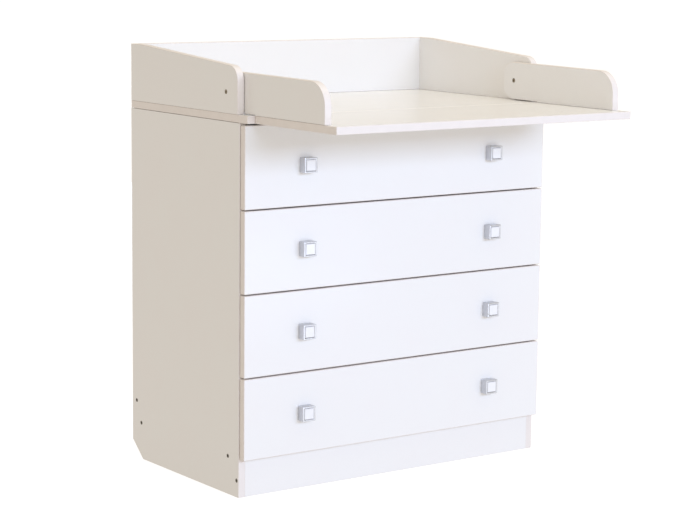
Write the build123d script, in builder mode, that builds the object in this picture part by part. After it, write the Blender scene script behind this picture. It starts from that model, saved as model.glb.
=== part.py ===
"""Changing table: a chest of four drawers with a fold-out changing top.

Sizes are in millimetres. +Z is up, +X is to the right of someone who stands in front of the
drawers, and the drawers open towards -Y. The origin is the centre of the bounding box's base,
with the changing top folded out and the drawers shut.
"""

import os
from math import cos, radians, sin, sqrt, tan

from build123d import *

os.makedirs("parts", exist_ok=True)

# Chest of drawers
cabinet_width = 800.0
carcass_depth = 440.0
side_height = 784.0
panel = 16.0
edge_round = 1.0
bottom_panel_height = 74.0
toe_length = 45.0
toe_height = 38.0
rail_depth = 80.0
front_rail_setback = 30.0
lower_rail_height = 80.0
back_thickness = 4.0
back_inset = 6.0
bottom_screw_front_setback = 42.0
bottom_screw_rear_setback = 38.0
plinth_screw_height = 36.0

# Changing top: the fixed board with its three guards
board_overhang = 30.0
guard_height = 124.0
guard_flat = 48.0
guard_front_height = 97.0
guard_front_setback = 38.0
guard_front_radius = 30.0

# Changing top: the part that folds
flap_gap = 1.0
flap_fold_clearance = 4.0
flap_side_gap = 1.5
flap_guard_setback = 40.0
flap_guard_fold_gap = 3.0
flap_guard_drop = 3.0
flap_guard_front_radius = 48.0
pivot_setback = 82.0
pivot_height = 44.0
swing_clearance = 2.0
rear_end_trim = 7.0

# Pivot connectors
pivot_radius = 3.5
pivot_head_radius = 4.75
pivot_head_depth = 2.5
pivot_running_clearance = 0.06
pivot_head_clearance = 0.4
socket_radius = 2.6
socket_depth = 2.0

# Carcass screws and flap screws
carcass_screw_head = 4.3
carcass_screw_shank = 3.2
carcass_screw_core = 2.4
carcass_screw_length = 50.0
flap_screw_head = 4.5
flap_screw_shank = 2.5
flap_screw_core = 1.9
flap_screw_length = 45.0
flap_screw_end_distance = 30.0
screw_head_depth = 3.0
screw_clearance = 0.05

# Dowels between the side panels, the fixed board and its guards
dowel_radius = 4.0
dowel_length = 40.0
dowel_in_guard = 16.0
dowel_clearance = 0.05
side_dowel_end_distance = 40.0
back_dowel_end_distance = 85.0

# Drawers
drawer_count = 4
front_bottom = 82.0
front_top_gap = 5.0
front_gap = 3.0
front_standoff = 2.0
front_side_reveal = 1.5
drawer_side = 12.0
drawer_box_lift = 20.0
drawer_box_drop = 32.0
drawer_rear_clearance = 16.0
drawer_bottom = 4.0
groove_height = 10.0
groove_depth = 6.0
groove_clearance = 0.1

# Telescopic runners
runner_space = 13.0
runner_metal = 1.5
runner_height = 45.0
runner_gap = 0.5
runner_setback = 2.0
cabinet_channel_reach = 9.5
middle_channel_reach = 9.0
drawer_channel_reach = 9.0

# Knobs
knob_size = 32.0
knob_projection = 20.0
knob_spread = 248.0
knob_corner_radius = 2.0
knob_rim_chamfer = 1.0
knob_opening = 26.0
knob_recess = 2.0
knob_recess_slope = 40.0
knob_insert_gap = 0.2
knob_insert_sink = 0.2
knob_insert_round = 0.4
knob_screw_radius = 2.0
knob_screw_head_radius = 4.5
knob_screw_head_depth = 2.5
knob_screw_depth = 10.0

# Derived positions
half_width = cabinet_width / 2
inner_half = half_width - panel
worktop = side_height + panel
plinth_height = bottom_panel_height + panel
front_space = side_height - front_top_gap - front_bottom
front_height = (front_space + front_gap) / drawer_count - front_gap
drawer_box_height = front_height - drawer_box_lift - drawer_box_drop
swing_radius = pivot_height - swing_clearance
rear_end_reach = swing_radius - rear_end_trim
flap_guard_rear_height = 2 * pivot_height - flap_guard_fold_gap
flap_guard_front_height = flap_guard_rear_height - flap_guard_drop

# The folded board lies between the pivot and the back guard, as far behind the pivot as it
# stands in front of it when it is open.
pivot_behind_front = pivot_setback - board_overhang
folded_reach = carcass_depth - panel - flap_fold_clearance - pivot_behind_front
flap_length = folded_reach - pivot_setback - flap_gap

total_depth = carcass_depth + board_overhang + flap_gap + flap_length
carcass_front = total_depth / 2 - carcass_depth
carcass_rear = carcass_front + carcass_depth
board_front = carcass_front - board_overhang
flap_rear = board_front - flap_gap
flap_front = flap_rear - flap_length
guard_front = board_front + guard_front_setback
back_guard_front = carcass_rear - panel
back_panel_front = carcass_rear - back_inset - back_thickness
flap_half = inner_half - flap_side_gap
flap_guard_front = flap_front + flap_guard_setback
pivot_y = board_front + pivot_setback
pivot_z = worktop + pivot_height
front_rear_face = carcass_front - front_standoff
front_face = front_rear_face - panel
front_pitch = front_height + front_gap
drawer_half = inner_half - runner_space
box_rear = back_panel_front - panel - drawer_rear_clearance
drawer_box_length = box_rear - front_rear_face
runner_front = carcass_front + runner_setback
runner_length = drawer_box_length
lower_rail_y = back_panel_front - panel / 2

# The insert fills the floor of the knob's recess and lies just under its rim.
knob_floor = knob_opening - 2 * knob_recess * tan(radians(knob_recess_slope))
knob_insert_size = knob_floor - 2 * knob_insert_gap
knob_insert_thickness = knob_recess - knob_insert_sink


def save(piece, name):
    """Label a finished piece and write it as one STEP file."""
    piece.label = name
    export_step(piece, f"parts/{name}.step")


def make_screw(head, shank, core, length, clearance):
    """Countersunk board screw along -Z with its head flush at Z = 0.

    The shank runs through one board and the thinner threaded core holds in the next. With a
    clearance the same outline gives the bore that the screw sits in.
    """
    with BuildPart() as screw:
        with BuildSketch(Plane.XZ):
            with BuildLine():
                Polyline(
                    (0, 0),
                    (head + clearance, 0),
                    (shank + clearance, -screw_head_depth),
                    (shank + clearance, -panel - clearance),
                    (core + clearance, -panel - 2 - clearance),
                    (core + clearance, -length + 3 - clearance),
                    (0, -length - clearance),
                    close=True,
                )
            make_face()
        revolve(axis=Axis.Z)
        if clearance == 0:
            with BuildSketch():
                RegularPolygon(radius=socket_radius, side_count=6)
            extrude(amount=-socket_depth, mode=Mode.SUBTRACT)
    return screw.part


carcass_screw = make_screw(
    carcass_screw_head, carcass_screw_shank, carcass_screw_core, carcass_screw_length, 0
)
carcass_bore = make_screw(
    carcass_screw_head,
    carcass_screw_shank,
    carcass_screw_core,
    carcass_screw_length,
    screw_clearance,
)
flap_screw = make_screw(flap_screw_head, flap_screw_shank, flap_screw_core, flap_screw_length, 0)
flap_bore = make_screw(
    flap_screw_head, flap_screw_shank, flap_screw_core, flap_screw_length, screw_clearance
)

# Carcass screws go in through the sides: bottom panel twice, plinth and rear rail once each.
bottom_screw_z = bottom_panel_height + panel / 2
lower_rail_screw_z = plinth_height + lower_rail_height / 2
screw_points = [
    (carcass_front + bottom_screw_front_setback, bottom_screw_z),
    (carcass_rear - bottom_screw_rear_setback, bottom_screw_z),
    (carcass_front + panel / 2, plinth_screw_height),
    (lower_rail_y, lower_rail_screw_z),
]
left_screws = [Plane(origin=(-half_width, y, z), z_dir=(-1, 0, 0)) for y, z in screw_points]
right_screws = [Plane(origin=(half_width, y, z), z_dir=(1, 0, 0)) for y, z in screw_points]

with BuildPart() as carcass_screws:
    with Locations(*left_screws, *right_screws):
        add(carcass_screw)
save(carcass_screws.part, "carcass_screws")

# Dowels stand through the fixed board, three under each side guard and four under the back one.
side_dowel_x = half_width - panel / 2
dowel_floor = worktop + dowel_in_guard - dowel_length
side_dowel_y = [
    carcass_front + side_dowel_end_distance,
    (carcass_front + carcass_rear) / 2,
    carcass_rear - side_dowel_end_distance,
]
left_dowels = [(-side_dowel_x, y) for y in side_dowel_y]
right_dowels = [(side_dowel_x, y) for y in side_dowel_y]
back_dowel_end = inner_half - back_dowel_end_distance
back_dowel_x = [-back_dowel_end, -back_dowel_end / 3, back_dowel_end / 3, back_dowel_end]
back_dowels = [(x, carcass_rear - panel / 2) for x in back_dowel_x]

with BuildPart() as guard_dowels:
    with BuildSketch(Plane.XY.offset(dowel_floor)):
        with Locations(*left_dowels, *right_dowels, *back_dowels):
            Circle(dowel_radius)
    extrude(amount=dowel_length)
save(guard_dowels.part, "guard_dowels")


def cut_dowel_holes(spots):
    """Solid of the dowel bores at the given spots, a little wider and longer than the dowels."""
    with BuildPart() as bores:
        with BuildSketch(Plane.XY.offset(dowel_floor - dowel_clearance)):
            with Locations(*spots):
                Circle(dowel_radius + dowel_clearance)
        extrude(amount=dowel_length + 2 * dowel_clearance)
    return bores.part


left_dowel_bores = cut_dowel_holes(left_dowels)
right_dowel_bores = cut_dowel_holes(right_dowels)
back_dowel_bores = cut_dowel_holes(back_dowels)


def make_side(inner_x, outer_x, screws, dowel_bores):
    """Side panel with the rear toe cut away for a skirting board."""
    with BuildPart() as side:
        with BuildSketch(Plane.YZ.offset(min(inner_x, outer_x))):
            with BuildLine():
                Polyline(
                    (carcass_front, 0),
                    (carcass_rear - toe_length, 0),
                    (carcass_rear, toe_height),
                    (carcass_rear, side_height),
                    (carcass_front, side_height),
                    close=True,
                )
            make_face()
        extrude(amount=panel)
        fillet(side.edges().filter_by(Axis.Z).group_by(Axis.Y)[0], radius=edge_round)
        with Locations(*screws):
            add(carcass_bore, mode=Mode.SUBTRACT)
        add(dowel_bores, mode=Mode.SUBTRACT)
    return side.part


save(make_side(-inner_half, -half_width, left_screws, left_dowel_bores), "side_panel_left")
save(make_side(inner_half, half_width, right_screws, right_dowel_bores), "side_panel_right")

with BuildPart() as bottom_board:
    with BuildSketch(Plane.XY.offset(bottom_panel_height)):
        with Locations((0, (carcass_front + panel + back_panel_front) / 2)):
            Rectangle(2 * inner_half, back_panel_front - carcass_front - panel)
    extrude(amount=panel)
    with Locations(*left_screws, *right_screws):
        add(carcass_bore, mode=Mode.SUBTRACT)
save(bottom_board.part, "bottom_panel")

with BuildPart() as plinth:
    with BuildSketch():
        with Locations((0, carcass_front + panel / 2)):
            Rectangle(2 * inner_half, panel)
    extrude(amount=plinth_height)
    with Locations(*left_screws, *right_screws):
        add(carcass_bore, mode=Mode.SUBTRACT)
save(plinth.part, "plinth")

with BuildPart() as lower_rail:
    with BuildSketch(Plane.XY.offset(bottom_panel_height + panel)):
        with Locations((0, lower_rail_y)):
            Rectangle(2 * inner_half, panel)
    extrude(amount=lower_rail_height)
    with Locations(*left_screws, *right_screws):
        add(carcass_bore, mode=Mode.SUBTRACT)
save(lower_rail.part, "rear_lower_rail")

with BuildPart() as front_rail:
    with BuildSketch(Plane.XY.offset(side_height - panel)):
        with Locations((0, carcass_front + front_rail_setback + rail_depth / 2)):
            Rectangle(2 * inner_half, rail_depth)
    extrude(amount=panel)
save(front_rail.part, "top_rail_front")

with BuildPart() as rear_rail:
    with BuildSketch(Plane.XY.offset(side_height - panel)):
        with Locations((0, carcass_rear - rail_depth / 2)):
            Rectangle(2 * inner_half, rail_depth)
    extrude(amount=panel)
    add(back_dowel_bores, mode=Mode.SUBTRACT)
save(rear_rail.part, "top_rail_rear")

with BuildPart() as back_board:
    with BuildSketch(Plane.XY.offset(bottom_panel_height)):
        with Locations((0, back_panel_front + back_thickness / 2)):
            Rectangle(2 * inner_half, back_thickness)
    extrude(amount=side_height - panel - bottom_panel_height)
save(back_board.part, "back_panel")

with BuildPart() as top_board:
    with BuildSketch(Plane.XY.offset(side_height)):
        with Locations((0, (board_front + carcass_rear) / 2)):
            Rectangle(cabinet_width, carcass_rear - board_front)
    extrude(amount=panel)
    rim = top_board.edges().filter_by(Axis.Y) + top_board.edges().group_by(Axis.Y)[0]
    fillet(rim, radius=edge_round)
    add(left_dowel_bores, mode=Mode.SUBTRACT)
    add(right_dowel_bores, mode=Mode.SUBTRACT)
    add(back_dowel_bores, mode=Mode.SUBTRACT)
save(top_board.part, "top_board")


def make_side_guard(side, dowel_bores):
    """Side guard of the fixed board: level at the back, then falling to a rounded front."""
    guard_x = -half_width if side < 0 else inner_half
    with BuildPart() as guard:
        with BuildSketch(Plane.YZ.offset(guard_x)):
            with BuildLine():
                Polyline(
                    (guard_front, worktop),
                    (carcass_rear, worktop),
                    (carcass_rear, worktop + guard_height),
                    (carcass_rear - guard_flat, worktop + guard_height),
                    (guard_front, worktop + guard_front_height),
                    close=True,
                )
            guard_face = make_face()
            front_corner = guard_face.vertices().group_by(Axis.X)[0].sort_by(Axis.Y)[-1]
            fillet(front_corner, radius=guard_front_radius)
        extrude(amount=panel)
        fillet(guard.faces().filter_by(Axis.X).edges(), radius=edge_round)
        with Locations(Plane(origin=(side * half_width, pivot_y, pivot_z), z_dir=(side, 0, 0))):
            CounterBoreHole(
                radius=pivot_radius + screw_clearance,
                counter_bore_radius=pivot_head_radius + screw_clearance,
                counter_bore_depth=pivot_head_depth,
                depth=2 * panel,
            )
        add(dowel_bores, mode=Mode.SUBTRACT)
    return guard.part


save(make_side_guard(-1, left_dowel_bores), "guard_left")
save(make_side_guard(1, right_dowel_bores), "guard_right")

with BuildPart() as back_guard:
    with BuildSketch(Plane.XY.offset(worktop)):
        with Locations((0, back_guard_front + panel / 2)):
            Rectangle(2 * inner_half, panel)
    extrude(amount=guard_height)
    fillet(back_guard.edges().filter_by(Axis.X).group_by(Axis.Z)[-1], radius=edge_round)
    add(back_dowel_bores, mode=Mode.SUBTRACT)
save(back_guard.part, "guard_back")

# Fold-out board, its two guards and the screws that hold them from below.
flap_screw_x = flap_half - panel / 2
flap_screw_y = [
    flap_guard_front + flap_screw_end_distance,
    (flap_guard_front + flap_rear) / 2,
    flap_rear - flap_screw_end_distance,
]


def flap_screw_planes(x):
    """Planes of the flap screws' heads under one guard, facing down."""
    return [Plane(origin=(x, y, side_height), z_dir=(0, 0, -1)) for y in flap_screw_y]


left_flap_screws = flap_screw_planes(-flap_screw_x)
right_flap_screws = flap_screw_planes(flap_screw_x)

with BuildPart() as flap_screws:
    with Locations(*left_flap_screws, *right_flap_screws):
        add(flap_screw)
save(flap_screws.part, "flap_screws")

with BuildPart() as flap_board:
    with BuildSketch(Plane.XY.offset(side_height)):
        with Locations((0, (flap_front + flap_rear) / 2)):
            Rectangle(2 * flap_half, flap_length)
    extrude(amount=panel)
    fillet(flap_board.edges().filter_by(Axis.Z, reverse=True), radius=edge_round)
    with Locations(*left_flap_screws, *right_flap_screws):
        add(flap_bore, mode=Mode.SUBTRACT)
save(flap_board.part, "flap_board")


def make_flap_guard(side, screws):
    """Guard of the fold-out board, with a rear end rounded about the pivot.

    The rear end reaches over the fixed board. It turns inside swing_radius of the pivot, which
    is less than the pivot's height, so it clears the fixed board all the way round.
    """
    guard_x = -flap_half if side < 0 else flap_half - panel
    corner = sqrt(swing_radius**2 - rear_end_reach**2)
    top_rise = flap_guard_rear_height - pivot_height
    top_run = sqrt(swing_radius**2 - top_rise**2)
    low_arc_y = pivot_y + swing_radius * cos(radians(65))
    low_arc_z = pivot_z - swing_radius * sin(radians(65))
    high_arc_y = pivot_y + swing_radius * cos(radians(55))
    high_arc_z = pivot_z + swing_radius * sin(radians(55))
    with BuildPart() as guard:
        with BuildSketch(Plane.YZ.offset(guard_x)):
            with BuildLine():
                Polyline(
                    (pivot_y + top_run, worktop + flap_guard_rear_height),
                    (flap_guard_front, worktop + flap_guard_front_height),
                    (flap_guard_front, worktop),
                    (flap_rear, worktop),
                    (flap_rear, pivot_z - swing_radius),
                    (pivot_y, pivot_z - swing_radius),
                )
                ThreePointArc(
                    (pivot_y, pivot_z - swing_radius),
                    (low_arc_y, low_arc_z),
                    (pivot_y + rear_end_reach, pivot_z - corner),
                )
                Line(
                    (pivot_y + rear_end_reach, pivot_z - corner),
                    (pivot_y + rear_end_reach, pivot_z + corner),
                )
                ThreePointArc(
                    (pivot_y + rear_end_reach, pivot_z + corner),
                    (high_arc_y, high_arc_z),
                    (pivot_y + top_run, worktop + flap_guard_rear_height),
                )
            guard_face = make_face()
            front_corner = guard_face.vertices().group_by(Axis.X)[0].sort_by(Axis.Y)[-1]
            fillet(front_corner, radius=flap_guard_front_radius)
        extrude(amount=panel)
        outline = guard.faces().filter_by(Axis.X).edges()
        fillet(outline.filter_by(lambda edge: edge.center().Z > worktop + 3), radius=edge_round)
        inner_x = side * (flap_half - panel)
        with Locations(Plane(origin=(inner_x, pivot_y, pivot_z), z_dir=(-side, 0, 0))):
            CounterBoreHole(
                radius=pivot_radius + pivot_running_clearance,
                counter_bore_radius=pivot_head_radius + pivot_head_clearance,
                counter_bore_depth=pivot_head_depth + pivot_head_clearance,
                depth=2 * panel,
            )
        with Locations(*screws):
            add(flap_bore, mode=Mode.SUBTRACT)
    return guard.part


save(make_flap_guard(-1, left_flap_screws), "flap_guard_left")
save(make_flap_guard(1, right_flap_screws), "flap_guard_right")


def make_pivot(side):
    """Sleeve connector with two flush heads, each with a hexagon socket."""
    outer_x = side * half_width
    inner_x = side * (flap_half - panel)
    length = abs(outer_x - inner_x)
    outer_plane = Plane(origin=(outer_x, pivot_y, pivot_z), z_dir=(-side, 0, 0))
    with BuildPart() as pivot:
        with BuildSketch(outer_plane):
            Circle(pivot_radius)
        extrude(amount=length)
        with BuildSketch(outer_plane, outer_plane.offset(length - pivot_head_depth)):
            Circle(pivot_head_radius)
        extrude(amount=pivot_head_depth)
        with BuildSketch(outer_plane, outer_plane.offset(length - socket_depth)):
            RegularPolygon(radius=socket_radius, side_count=6)
        extrude(amount=socket_depth, mode=Mode.SUBTRACT)
    return pivot.part


left_pivot = make_pivot(-1)
right_pivot = make_pivot(1)
with BuildPart() as pivot_bolts:
    add(left_pivot)
    add(right_pivot)
save(pivot_bolts.part, "pivot_bolts")

# Telescopic runners: a channel on the cabinet side, one between, and one on the drawer.
front_bottoms = [front_bottom + front_pitch * step for step in reversed(range(drawer_count))]
runner_heights = [low + drawer_box_lift + drawer_box_height / 2 for low in front_bottoms]
middle_near = runner_metal + runner_gap
middle_height = runner_height - 2 * (runner_metal + runner_gap)
drawer_channel_height = middle_height - 2 * (runner_metal + runner_gap)
drawer_near = runner_space - drawer_channel_reach


def make_channels(heights, near, reach, height, opens_inward, front, length):
    """C-section channels on both sides of the drawer space at each height.

    near is the distance of the section from the cabinet side and reach its width. The web is on
    the cabinet side when the section opens inward, and on the drawer side when it doesn't.
    """
    hollow_shift = runner_metal / 2 if opens_inward else -runner_metal / 2
    centre = near + reach / 2
    with BuildPart() as channels:
        with BuildSketch(Plane.XZ.offset(-front - length)):
            for level in heights:
                for side in (-1, 1):
                    with Locations((side * (inner_half - centre), level)):
                        Rectangle(reach, height)
                    with Locations((side * (inner_half - centre - hollow_shift), level)):
                        Rectangle(reach - runner_metal, height - 2 * runner_metal, mode=Mode.SUBTRACT)
        extrude(amount=length)
    return channels.part


save(
    make_channels(
        runner_heights, 0, cabinet_channel_reach, runner_height, True, runner_front, runner_length
    ),
    "cabinet_runners",
)


def make_drawer(number, low):
    """All the pieces of one drawer, whose front starts at height low."""
    name = f"drawer_{number}"
    box_low = low + drawer_box_lift
    box_top = box_low + drawer_box_height
    groove_low = box_low + groove_height
    centre_z = low + front_height / 2
    knob_spots = [(-knob_spread, centre_z), (knob_spread, centre_z)]
    runner_z = box_low + drawer_box_height / 2

    with BuildPart() as knob_bores:
        with BuildSketch(Plane.XZ.offset(-front_rear_face)):
            with Locations(*knob_spots):
                Circle(knob_screw_radius + screw_clearance)
        extrude(amount=panel + knob_screw_depth + screw_clearance)

    with BuildPart() as front:
        with BuildSketch(Plane.XZ.offset(-front_rear_face)):
            with Locations((0, centre_z)):
                Rectangle(cabinet_width - 2 * front_side_reveal, front_height)
        extrude(amount=panel)
        fillet(front.edges().group_by(Axis.Y)[0], radius=edge_round)
        add(knob_bores.part, mode=Mode.SUBTRACT)
    save(front.part, f"{name}_front")

    for side, word in ((-1, "left"), (1, "right")):
        with BuildPart() as box_side:
            with BuildSketch(Plane.XY.offset(box_low)):
                with Locations((side * (drawer_half - drawer_side / 2), (front_rear_face + box_rear) / 2)):
                    Rectangle(drawer_side, drawer_box_length)
            extrude(amount=drawer_box_height)
            with BuildSketch(Plane.XY.offset(groove_low - groove_clearance)):
                groove_x = drawer_half - drawer_side + groove_depth / 2
                with Locations((side * groove_x, (front_rear_face + box_rear) / 2)):
                    Rectangle(groove_depth, drawer_box_length)
            extrude(amount=drawer_bottom + 2 * groove_clearance, mode=Mode.SUBTRACT)
        save(box_side.part, f"{name}_side_{word}")

    inside_half = drawer_half - drawer_side
    back_low = groove_low + drawer_bottom + groove_clearance
    with BuildPart() as box_back:
        with BuildSketch(Plane.XY.offset(back_low)):
            with Locations((0, box_rear - drawer_side / 2)):
                Rectangle(2 * inside_half, drawer_side)
        extrude(amount=box_top - back_low)
    save(box_back.part, f"{name}_back")

    floor_half = inside_half + groove_depth - groove_clearance
    with BuildPart() as box_floor:
        with BuildSketch(Plane.XY.offset(groove_low)):
            with Locations((0, (front_rear_face + box_rear) / 2)):
                Rectangle(2 * floor_half, drawer_box_length)
        extrude(amount=drawer_bottom)
    save(box_floor.part, f"{name}_bottom")

    save(
        make_channels(
            [runner_z],
            drawer_near,
            drawer_channel_reach,
            drawer_channel_height,
            False,
            front_rear_face + runner_setback,
            runner_length - runner_setback,
        ),
        f"{name}_runners",
    )
    save(
        make_channels(
            [runner_z],
            middle_near,
            middle_channel_reach,
            middle_height,
            True,
            runner_front,
            runner_length - runner_setback,
        ),
        f"{name}_middle_runners",
    )

    with BuildPart() as knobs:
        with BuildSketch(Plane.XZ.offset(-front_face)):
            with Locations(*knob_spots):
                RectangleRounded(knob_size, knob_size, knob_corner_radius)
        extrude(amount=knob_projection)
        chamfer(knobs.edges().group_by(Axis.Y)[0], length=knob_rim_chamfer)
        with BuildSketch(Plane.XZ.offset(-front_face + knob_projection)):
            with Locations(*knob_spots):
                Rectangle(knob_opening, knob_opening)
        extrude(amount=-knob_recess, taper=knob_recess_slope, mode=Mode.SUBTRACT)
        add(knob_bores.part, mode=Mode.SUBTRACT)
    save(knobs.part, f"{name}_knobs")

    with BuildPart() as inserts:
        with BuildSketch(Plane.XZ.offset(-front_face + knob_projection - knob_recess)):
            with Locations(*knob_spots):
                Rectangle(knob_insert_size, knob_insert_size)
        extrude(amount=knob_insert_thickness)
        fillet(inserts.edges().group_by(Axis.Y)[0], radius=knob_insert_round)
    save(inserts.part, f"{name}_knob_inserts")

    with BuildPart() as knob_screws:
        with BuildSketch(Plane.XZ.offset(-front_rear_face)):
            with Locations(*knob_spots):
                Circle(knob_screw_radius)
        extrude(amount=panel + knob_screw_depth)
        with BuildSketch(Plane.XZ.offset(-front_rear_face)):
            with Locations(*knob_spots):
                Circle(knob_screw_head_radius)
        extrude(amount=-knob_screw_head_depth)
    save(knob_screws.part, f"{name}_knob_screws")


for step, low in enumerate(front_bottoms):
    make_drawer(step + 1, low)
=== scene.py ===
"""Changing table with four drawers, guarded top and fold-out board, dressed for rendering.

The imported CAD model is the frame. The sides, plinth, top, guards, drawer fronts and boxes, knobs,
screws and pivots are rebuilt here as finer surfaces in the places that the CAD gives them. The
back and bottom panels, rails, runners, dowels and drawer floors keep their CAD shape and only get
their finish. Lengths are in metres; sizes that a joiner would name are written in millimetres
times MM.
"""

import logging
import math
from dataclasses import dataclass, field
from enum import Enum

import bpy
import numpy as np
from mathutils import Matrix, Vector


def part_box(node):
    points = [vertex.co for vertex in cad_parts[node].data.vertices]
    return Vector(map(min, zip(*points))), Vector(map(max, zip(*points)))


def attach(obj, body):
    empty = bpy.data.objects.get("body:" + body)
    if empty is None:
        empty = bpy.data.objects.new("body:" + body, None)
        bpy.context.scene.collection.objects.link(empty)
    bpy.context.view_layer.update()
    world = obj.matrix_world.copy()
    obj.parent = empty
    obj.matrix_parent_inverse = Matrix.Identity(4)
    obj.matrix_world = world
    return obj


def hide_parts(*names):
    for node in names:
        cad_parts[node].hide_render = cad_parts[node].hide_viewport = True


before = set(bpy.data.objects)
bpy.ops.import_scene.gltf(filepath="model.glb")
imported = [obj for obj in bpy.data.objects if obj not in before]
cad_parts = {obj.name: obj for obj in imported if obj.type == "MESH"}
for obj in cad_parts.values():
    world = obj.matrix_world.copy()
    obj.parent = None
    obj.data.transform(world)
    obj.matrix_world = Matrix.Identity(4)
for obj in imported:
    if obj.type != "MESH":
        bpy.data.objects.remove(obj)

LOG = logging.getLogger("changing_table")
MM = 0.001

# Sizes that more than one class uses.
BOARD_CORNER = 1.6 * MM
SHARP_ANGLE = math.radians(25)
PIVOT_HEAD = 4.75 * MM
PIVOT_HEAD_DEPTH = 2.5 * MM
PIVOT_SLEEVE = 3.5 * MM
SCREW_SINK = 3 * MM
SCREW_HOLE_DEPTH = 4 * MM


# ---------------------------------------------------------------------------- shapes


class Lie(Enum):
    """How a board lies: the world axes of its outline's two directions and of its thickness."""

    ON_EDGE_SIDEWAYS = (1, 2, 0)
    FLAT = (0, 1, 2)
    ON_EDGE_FACING_FRONT = (0, 2, 1)


class Section(Enum):
    """Cross-section of a turned piece at one step of its profile."""

    ROUND = 0
    HEXAGON = 1


@dataclass(frozen=True)
class Outline:
    """Closed anticlockwise outline of a board.

    Attributes:
        points: (N, 2) points in metres.
        shares: (N,) share of the full edge rounding on the edge that leaves each point.
    """

    points: np.ndarray
    shares: np.ndarray


@dataclass
class Shell:
    """One closed surface before it becomes an object.

    Attributes:
        points: (N, 3) points in metres.
        faces: corner numbers of each face, anticlockwise seen from outside.
        coats: (F,) which of the piece's finishes each face wears.
    """

    points: np.ndarray
    faces: list
    coats: np.ndarray


def arc(centre: tuple, radius: float, start: float, end: float, step: float = 6.0) -> np.ndarray:
    """Points on a circular arc: centre plus radius times (cos a, sin a).

    Args:
        centre: centre of the circle.
        radius: its radius.
        start: first angle in degrees.
        end: last angle in degrees.
        step: largest angle between two points, in degrees.

    Returns:
        (N, 2) points from start to end.
    """
    count = max(2, int(math.ceil(abs(end - start) / step)) + 1)
    angle = np.radians(np.linspace(start, end, count))
    return np.asarray(centre) + radius * np.stack([np.cos(angle), np.sin(angle)], axis=1)


def corner_arc(before: tuple, corner: tuple, after: tuple, radius: float) -> np.ndarray:
    """Arc that rounds a corner, touching both of its edges.

    The centre lies on the line that halves the corner, radius / sin(half angle) away from it, and
    the arc runs between the two points where the circle touches the edges.

    Args:
        before: point that the first edge comes from.
        corner: the corner.
        after: point that the second edge goes to.
        radius: radius of the rounding.

    Returns:
        (N, 2) points from the first edge to the second.
    """
    before, corner, after = (np.asarray(p, float) for p in (before, corner, after))
    back = (before - corner) / np.linalg.norm(before - corner)
    on = (after - corner) / np.linalg.norm(after - corner)
    half = math.acos(float(np.clip(back @ on, -1, 1))) / 2
    middle = (back + on) / np.linalg.norm(back + on)
    centre = corner + middle * radius / math.sin(half)
    touch = [corner + way * radius / math.tan(half) - centre for way in (back, on)]
    start, end = (math.degrees(math.atan2(t[1], t[0])) for t in touch)
    end = start + (end - start + 180) % 360 - 180
    return arc(centre, radius, start, end)


def trace(*runs: tuple) -> Outline:
    """Outline joined from runs of points.

    Args:
        runs: pairs of points and the share of rounding on the edges leaving them.

    Returns:
        The closed outline.
    """
    points = [np.atleast_2d(np.asarray(run, float)) for run, _ in runs]
    shares = [np.full(len(p), share) for p, (_, share) in zip(points, runs)]
    return Outline(np.concatenate(points), np.concatenate(shares))


def rectangle(low: tuple, high: tuple, shares: tuple, corner: float = 0.0) -> Outline:
    """Rectangle, with its corners rounded in plan where corner isn't 0.

    A rounded corner is wider than the edge rounding and the seam together, or the inset outline
    would cross itself there.

    Args:
        low: lower left corner.
        high: upper right corner.
        shares: rounding shares of the lower, right, upper and left edges.
        corner: radius of the corners.

    Returns:
        The outline.
    """
    (a, b), (c, d) = low, high
    square = [(a, b), (c, b), (c, d), (a, d)]
    if corner == 0:
        return trace(*zip(square, shares))
    rounded = [corner_arc(square[i - 1], square[i], square[(i + 1) % 4], corner) for i in range(4)]
    return trace(*zip(rounded, shares))


def skin(rings: np.ndarray, coats: np.ndarray | int = 0, cap_coat: int = 0) -> Shell:
    """Closed shell over rings of points carried along a path.

    Point (i, j) of the grid is point j of ring i. Each cell of the grid is a face, the rings close
    on themselves, and the first and last rings are filled. Rings run anticlockwise about the way
    that they are carried.

    Args:
        rings: (K, N, 3) points.
        coats: finish of each of the K - 1 bands of faces, or one for all.
        cap_coat: finish of the two fillings.

    Returns:
        The shell.
    """
    steps, count = rings.shape[:2]
    here = np.arange(count)
    after = np.roll(here, -1)
    base = (np.arange(steps - 1) * count)[:, None]
    around = [base + here, base + after, base + count + after, base + count + here]
    bands = np.stack(around, axis=-1)
    faces = bands.reshape(-1, 4).tolist()
    faces += [here[::-1].tolist(), ((steps - 1) * count + here).tolist()]
    worn = np.repeat(np.broadcast_to(coats, steps - 1), count)
    return Shell(rings.reshape(-1, 3), faces, np.concatenate([worn, [cap_coat, cap_coat]]))


def gather(shells: list) -> Shell:
    """Several shells as one, in the same order."""
    starts = np.cumsum([0] + [len(s.points) for s in shells[:-1]])
    faces = [[int(start) + c for c in f] for start, s in zip(starts, shells) for f in s.faces]
    return Shell(
        np.concatenate([s.points for s in shells]), faces, np.concatenate([s.coats for s in shells])
    )


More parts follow.
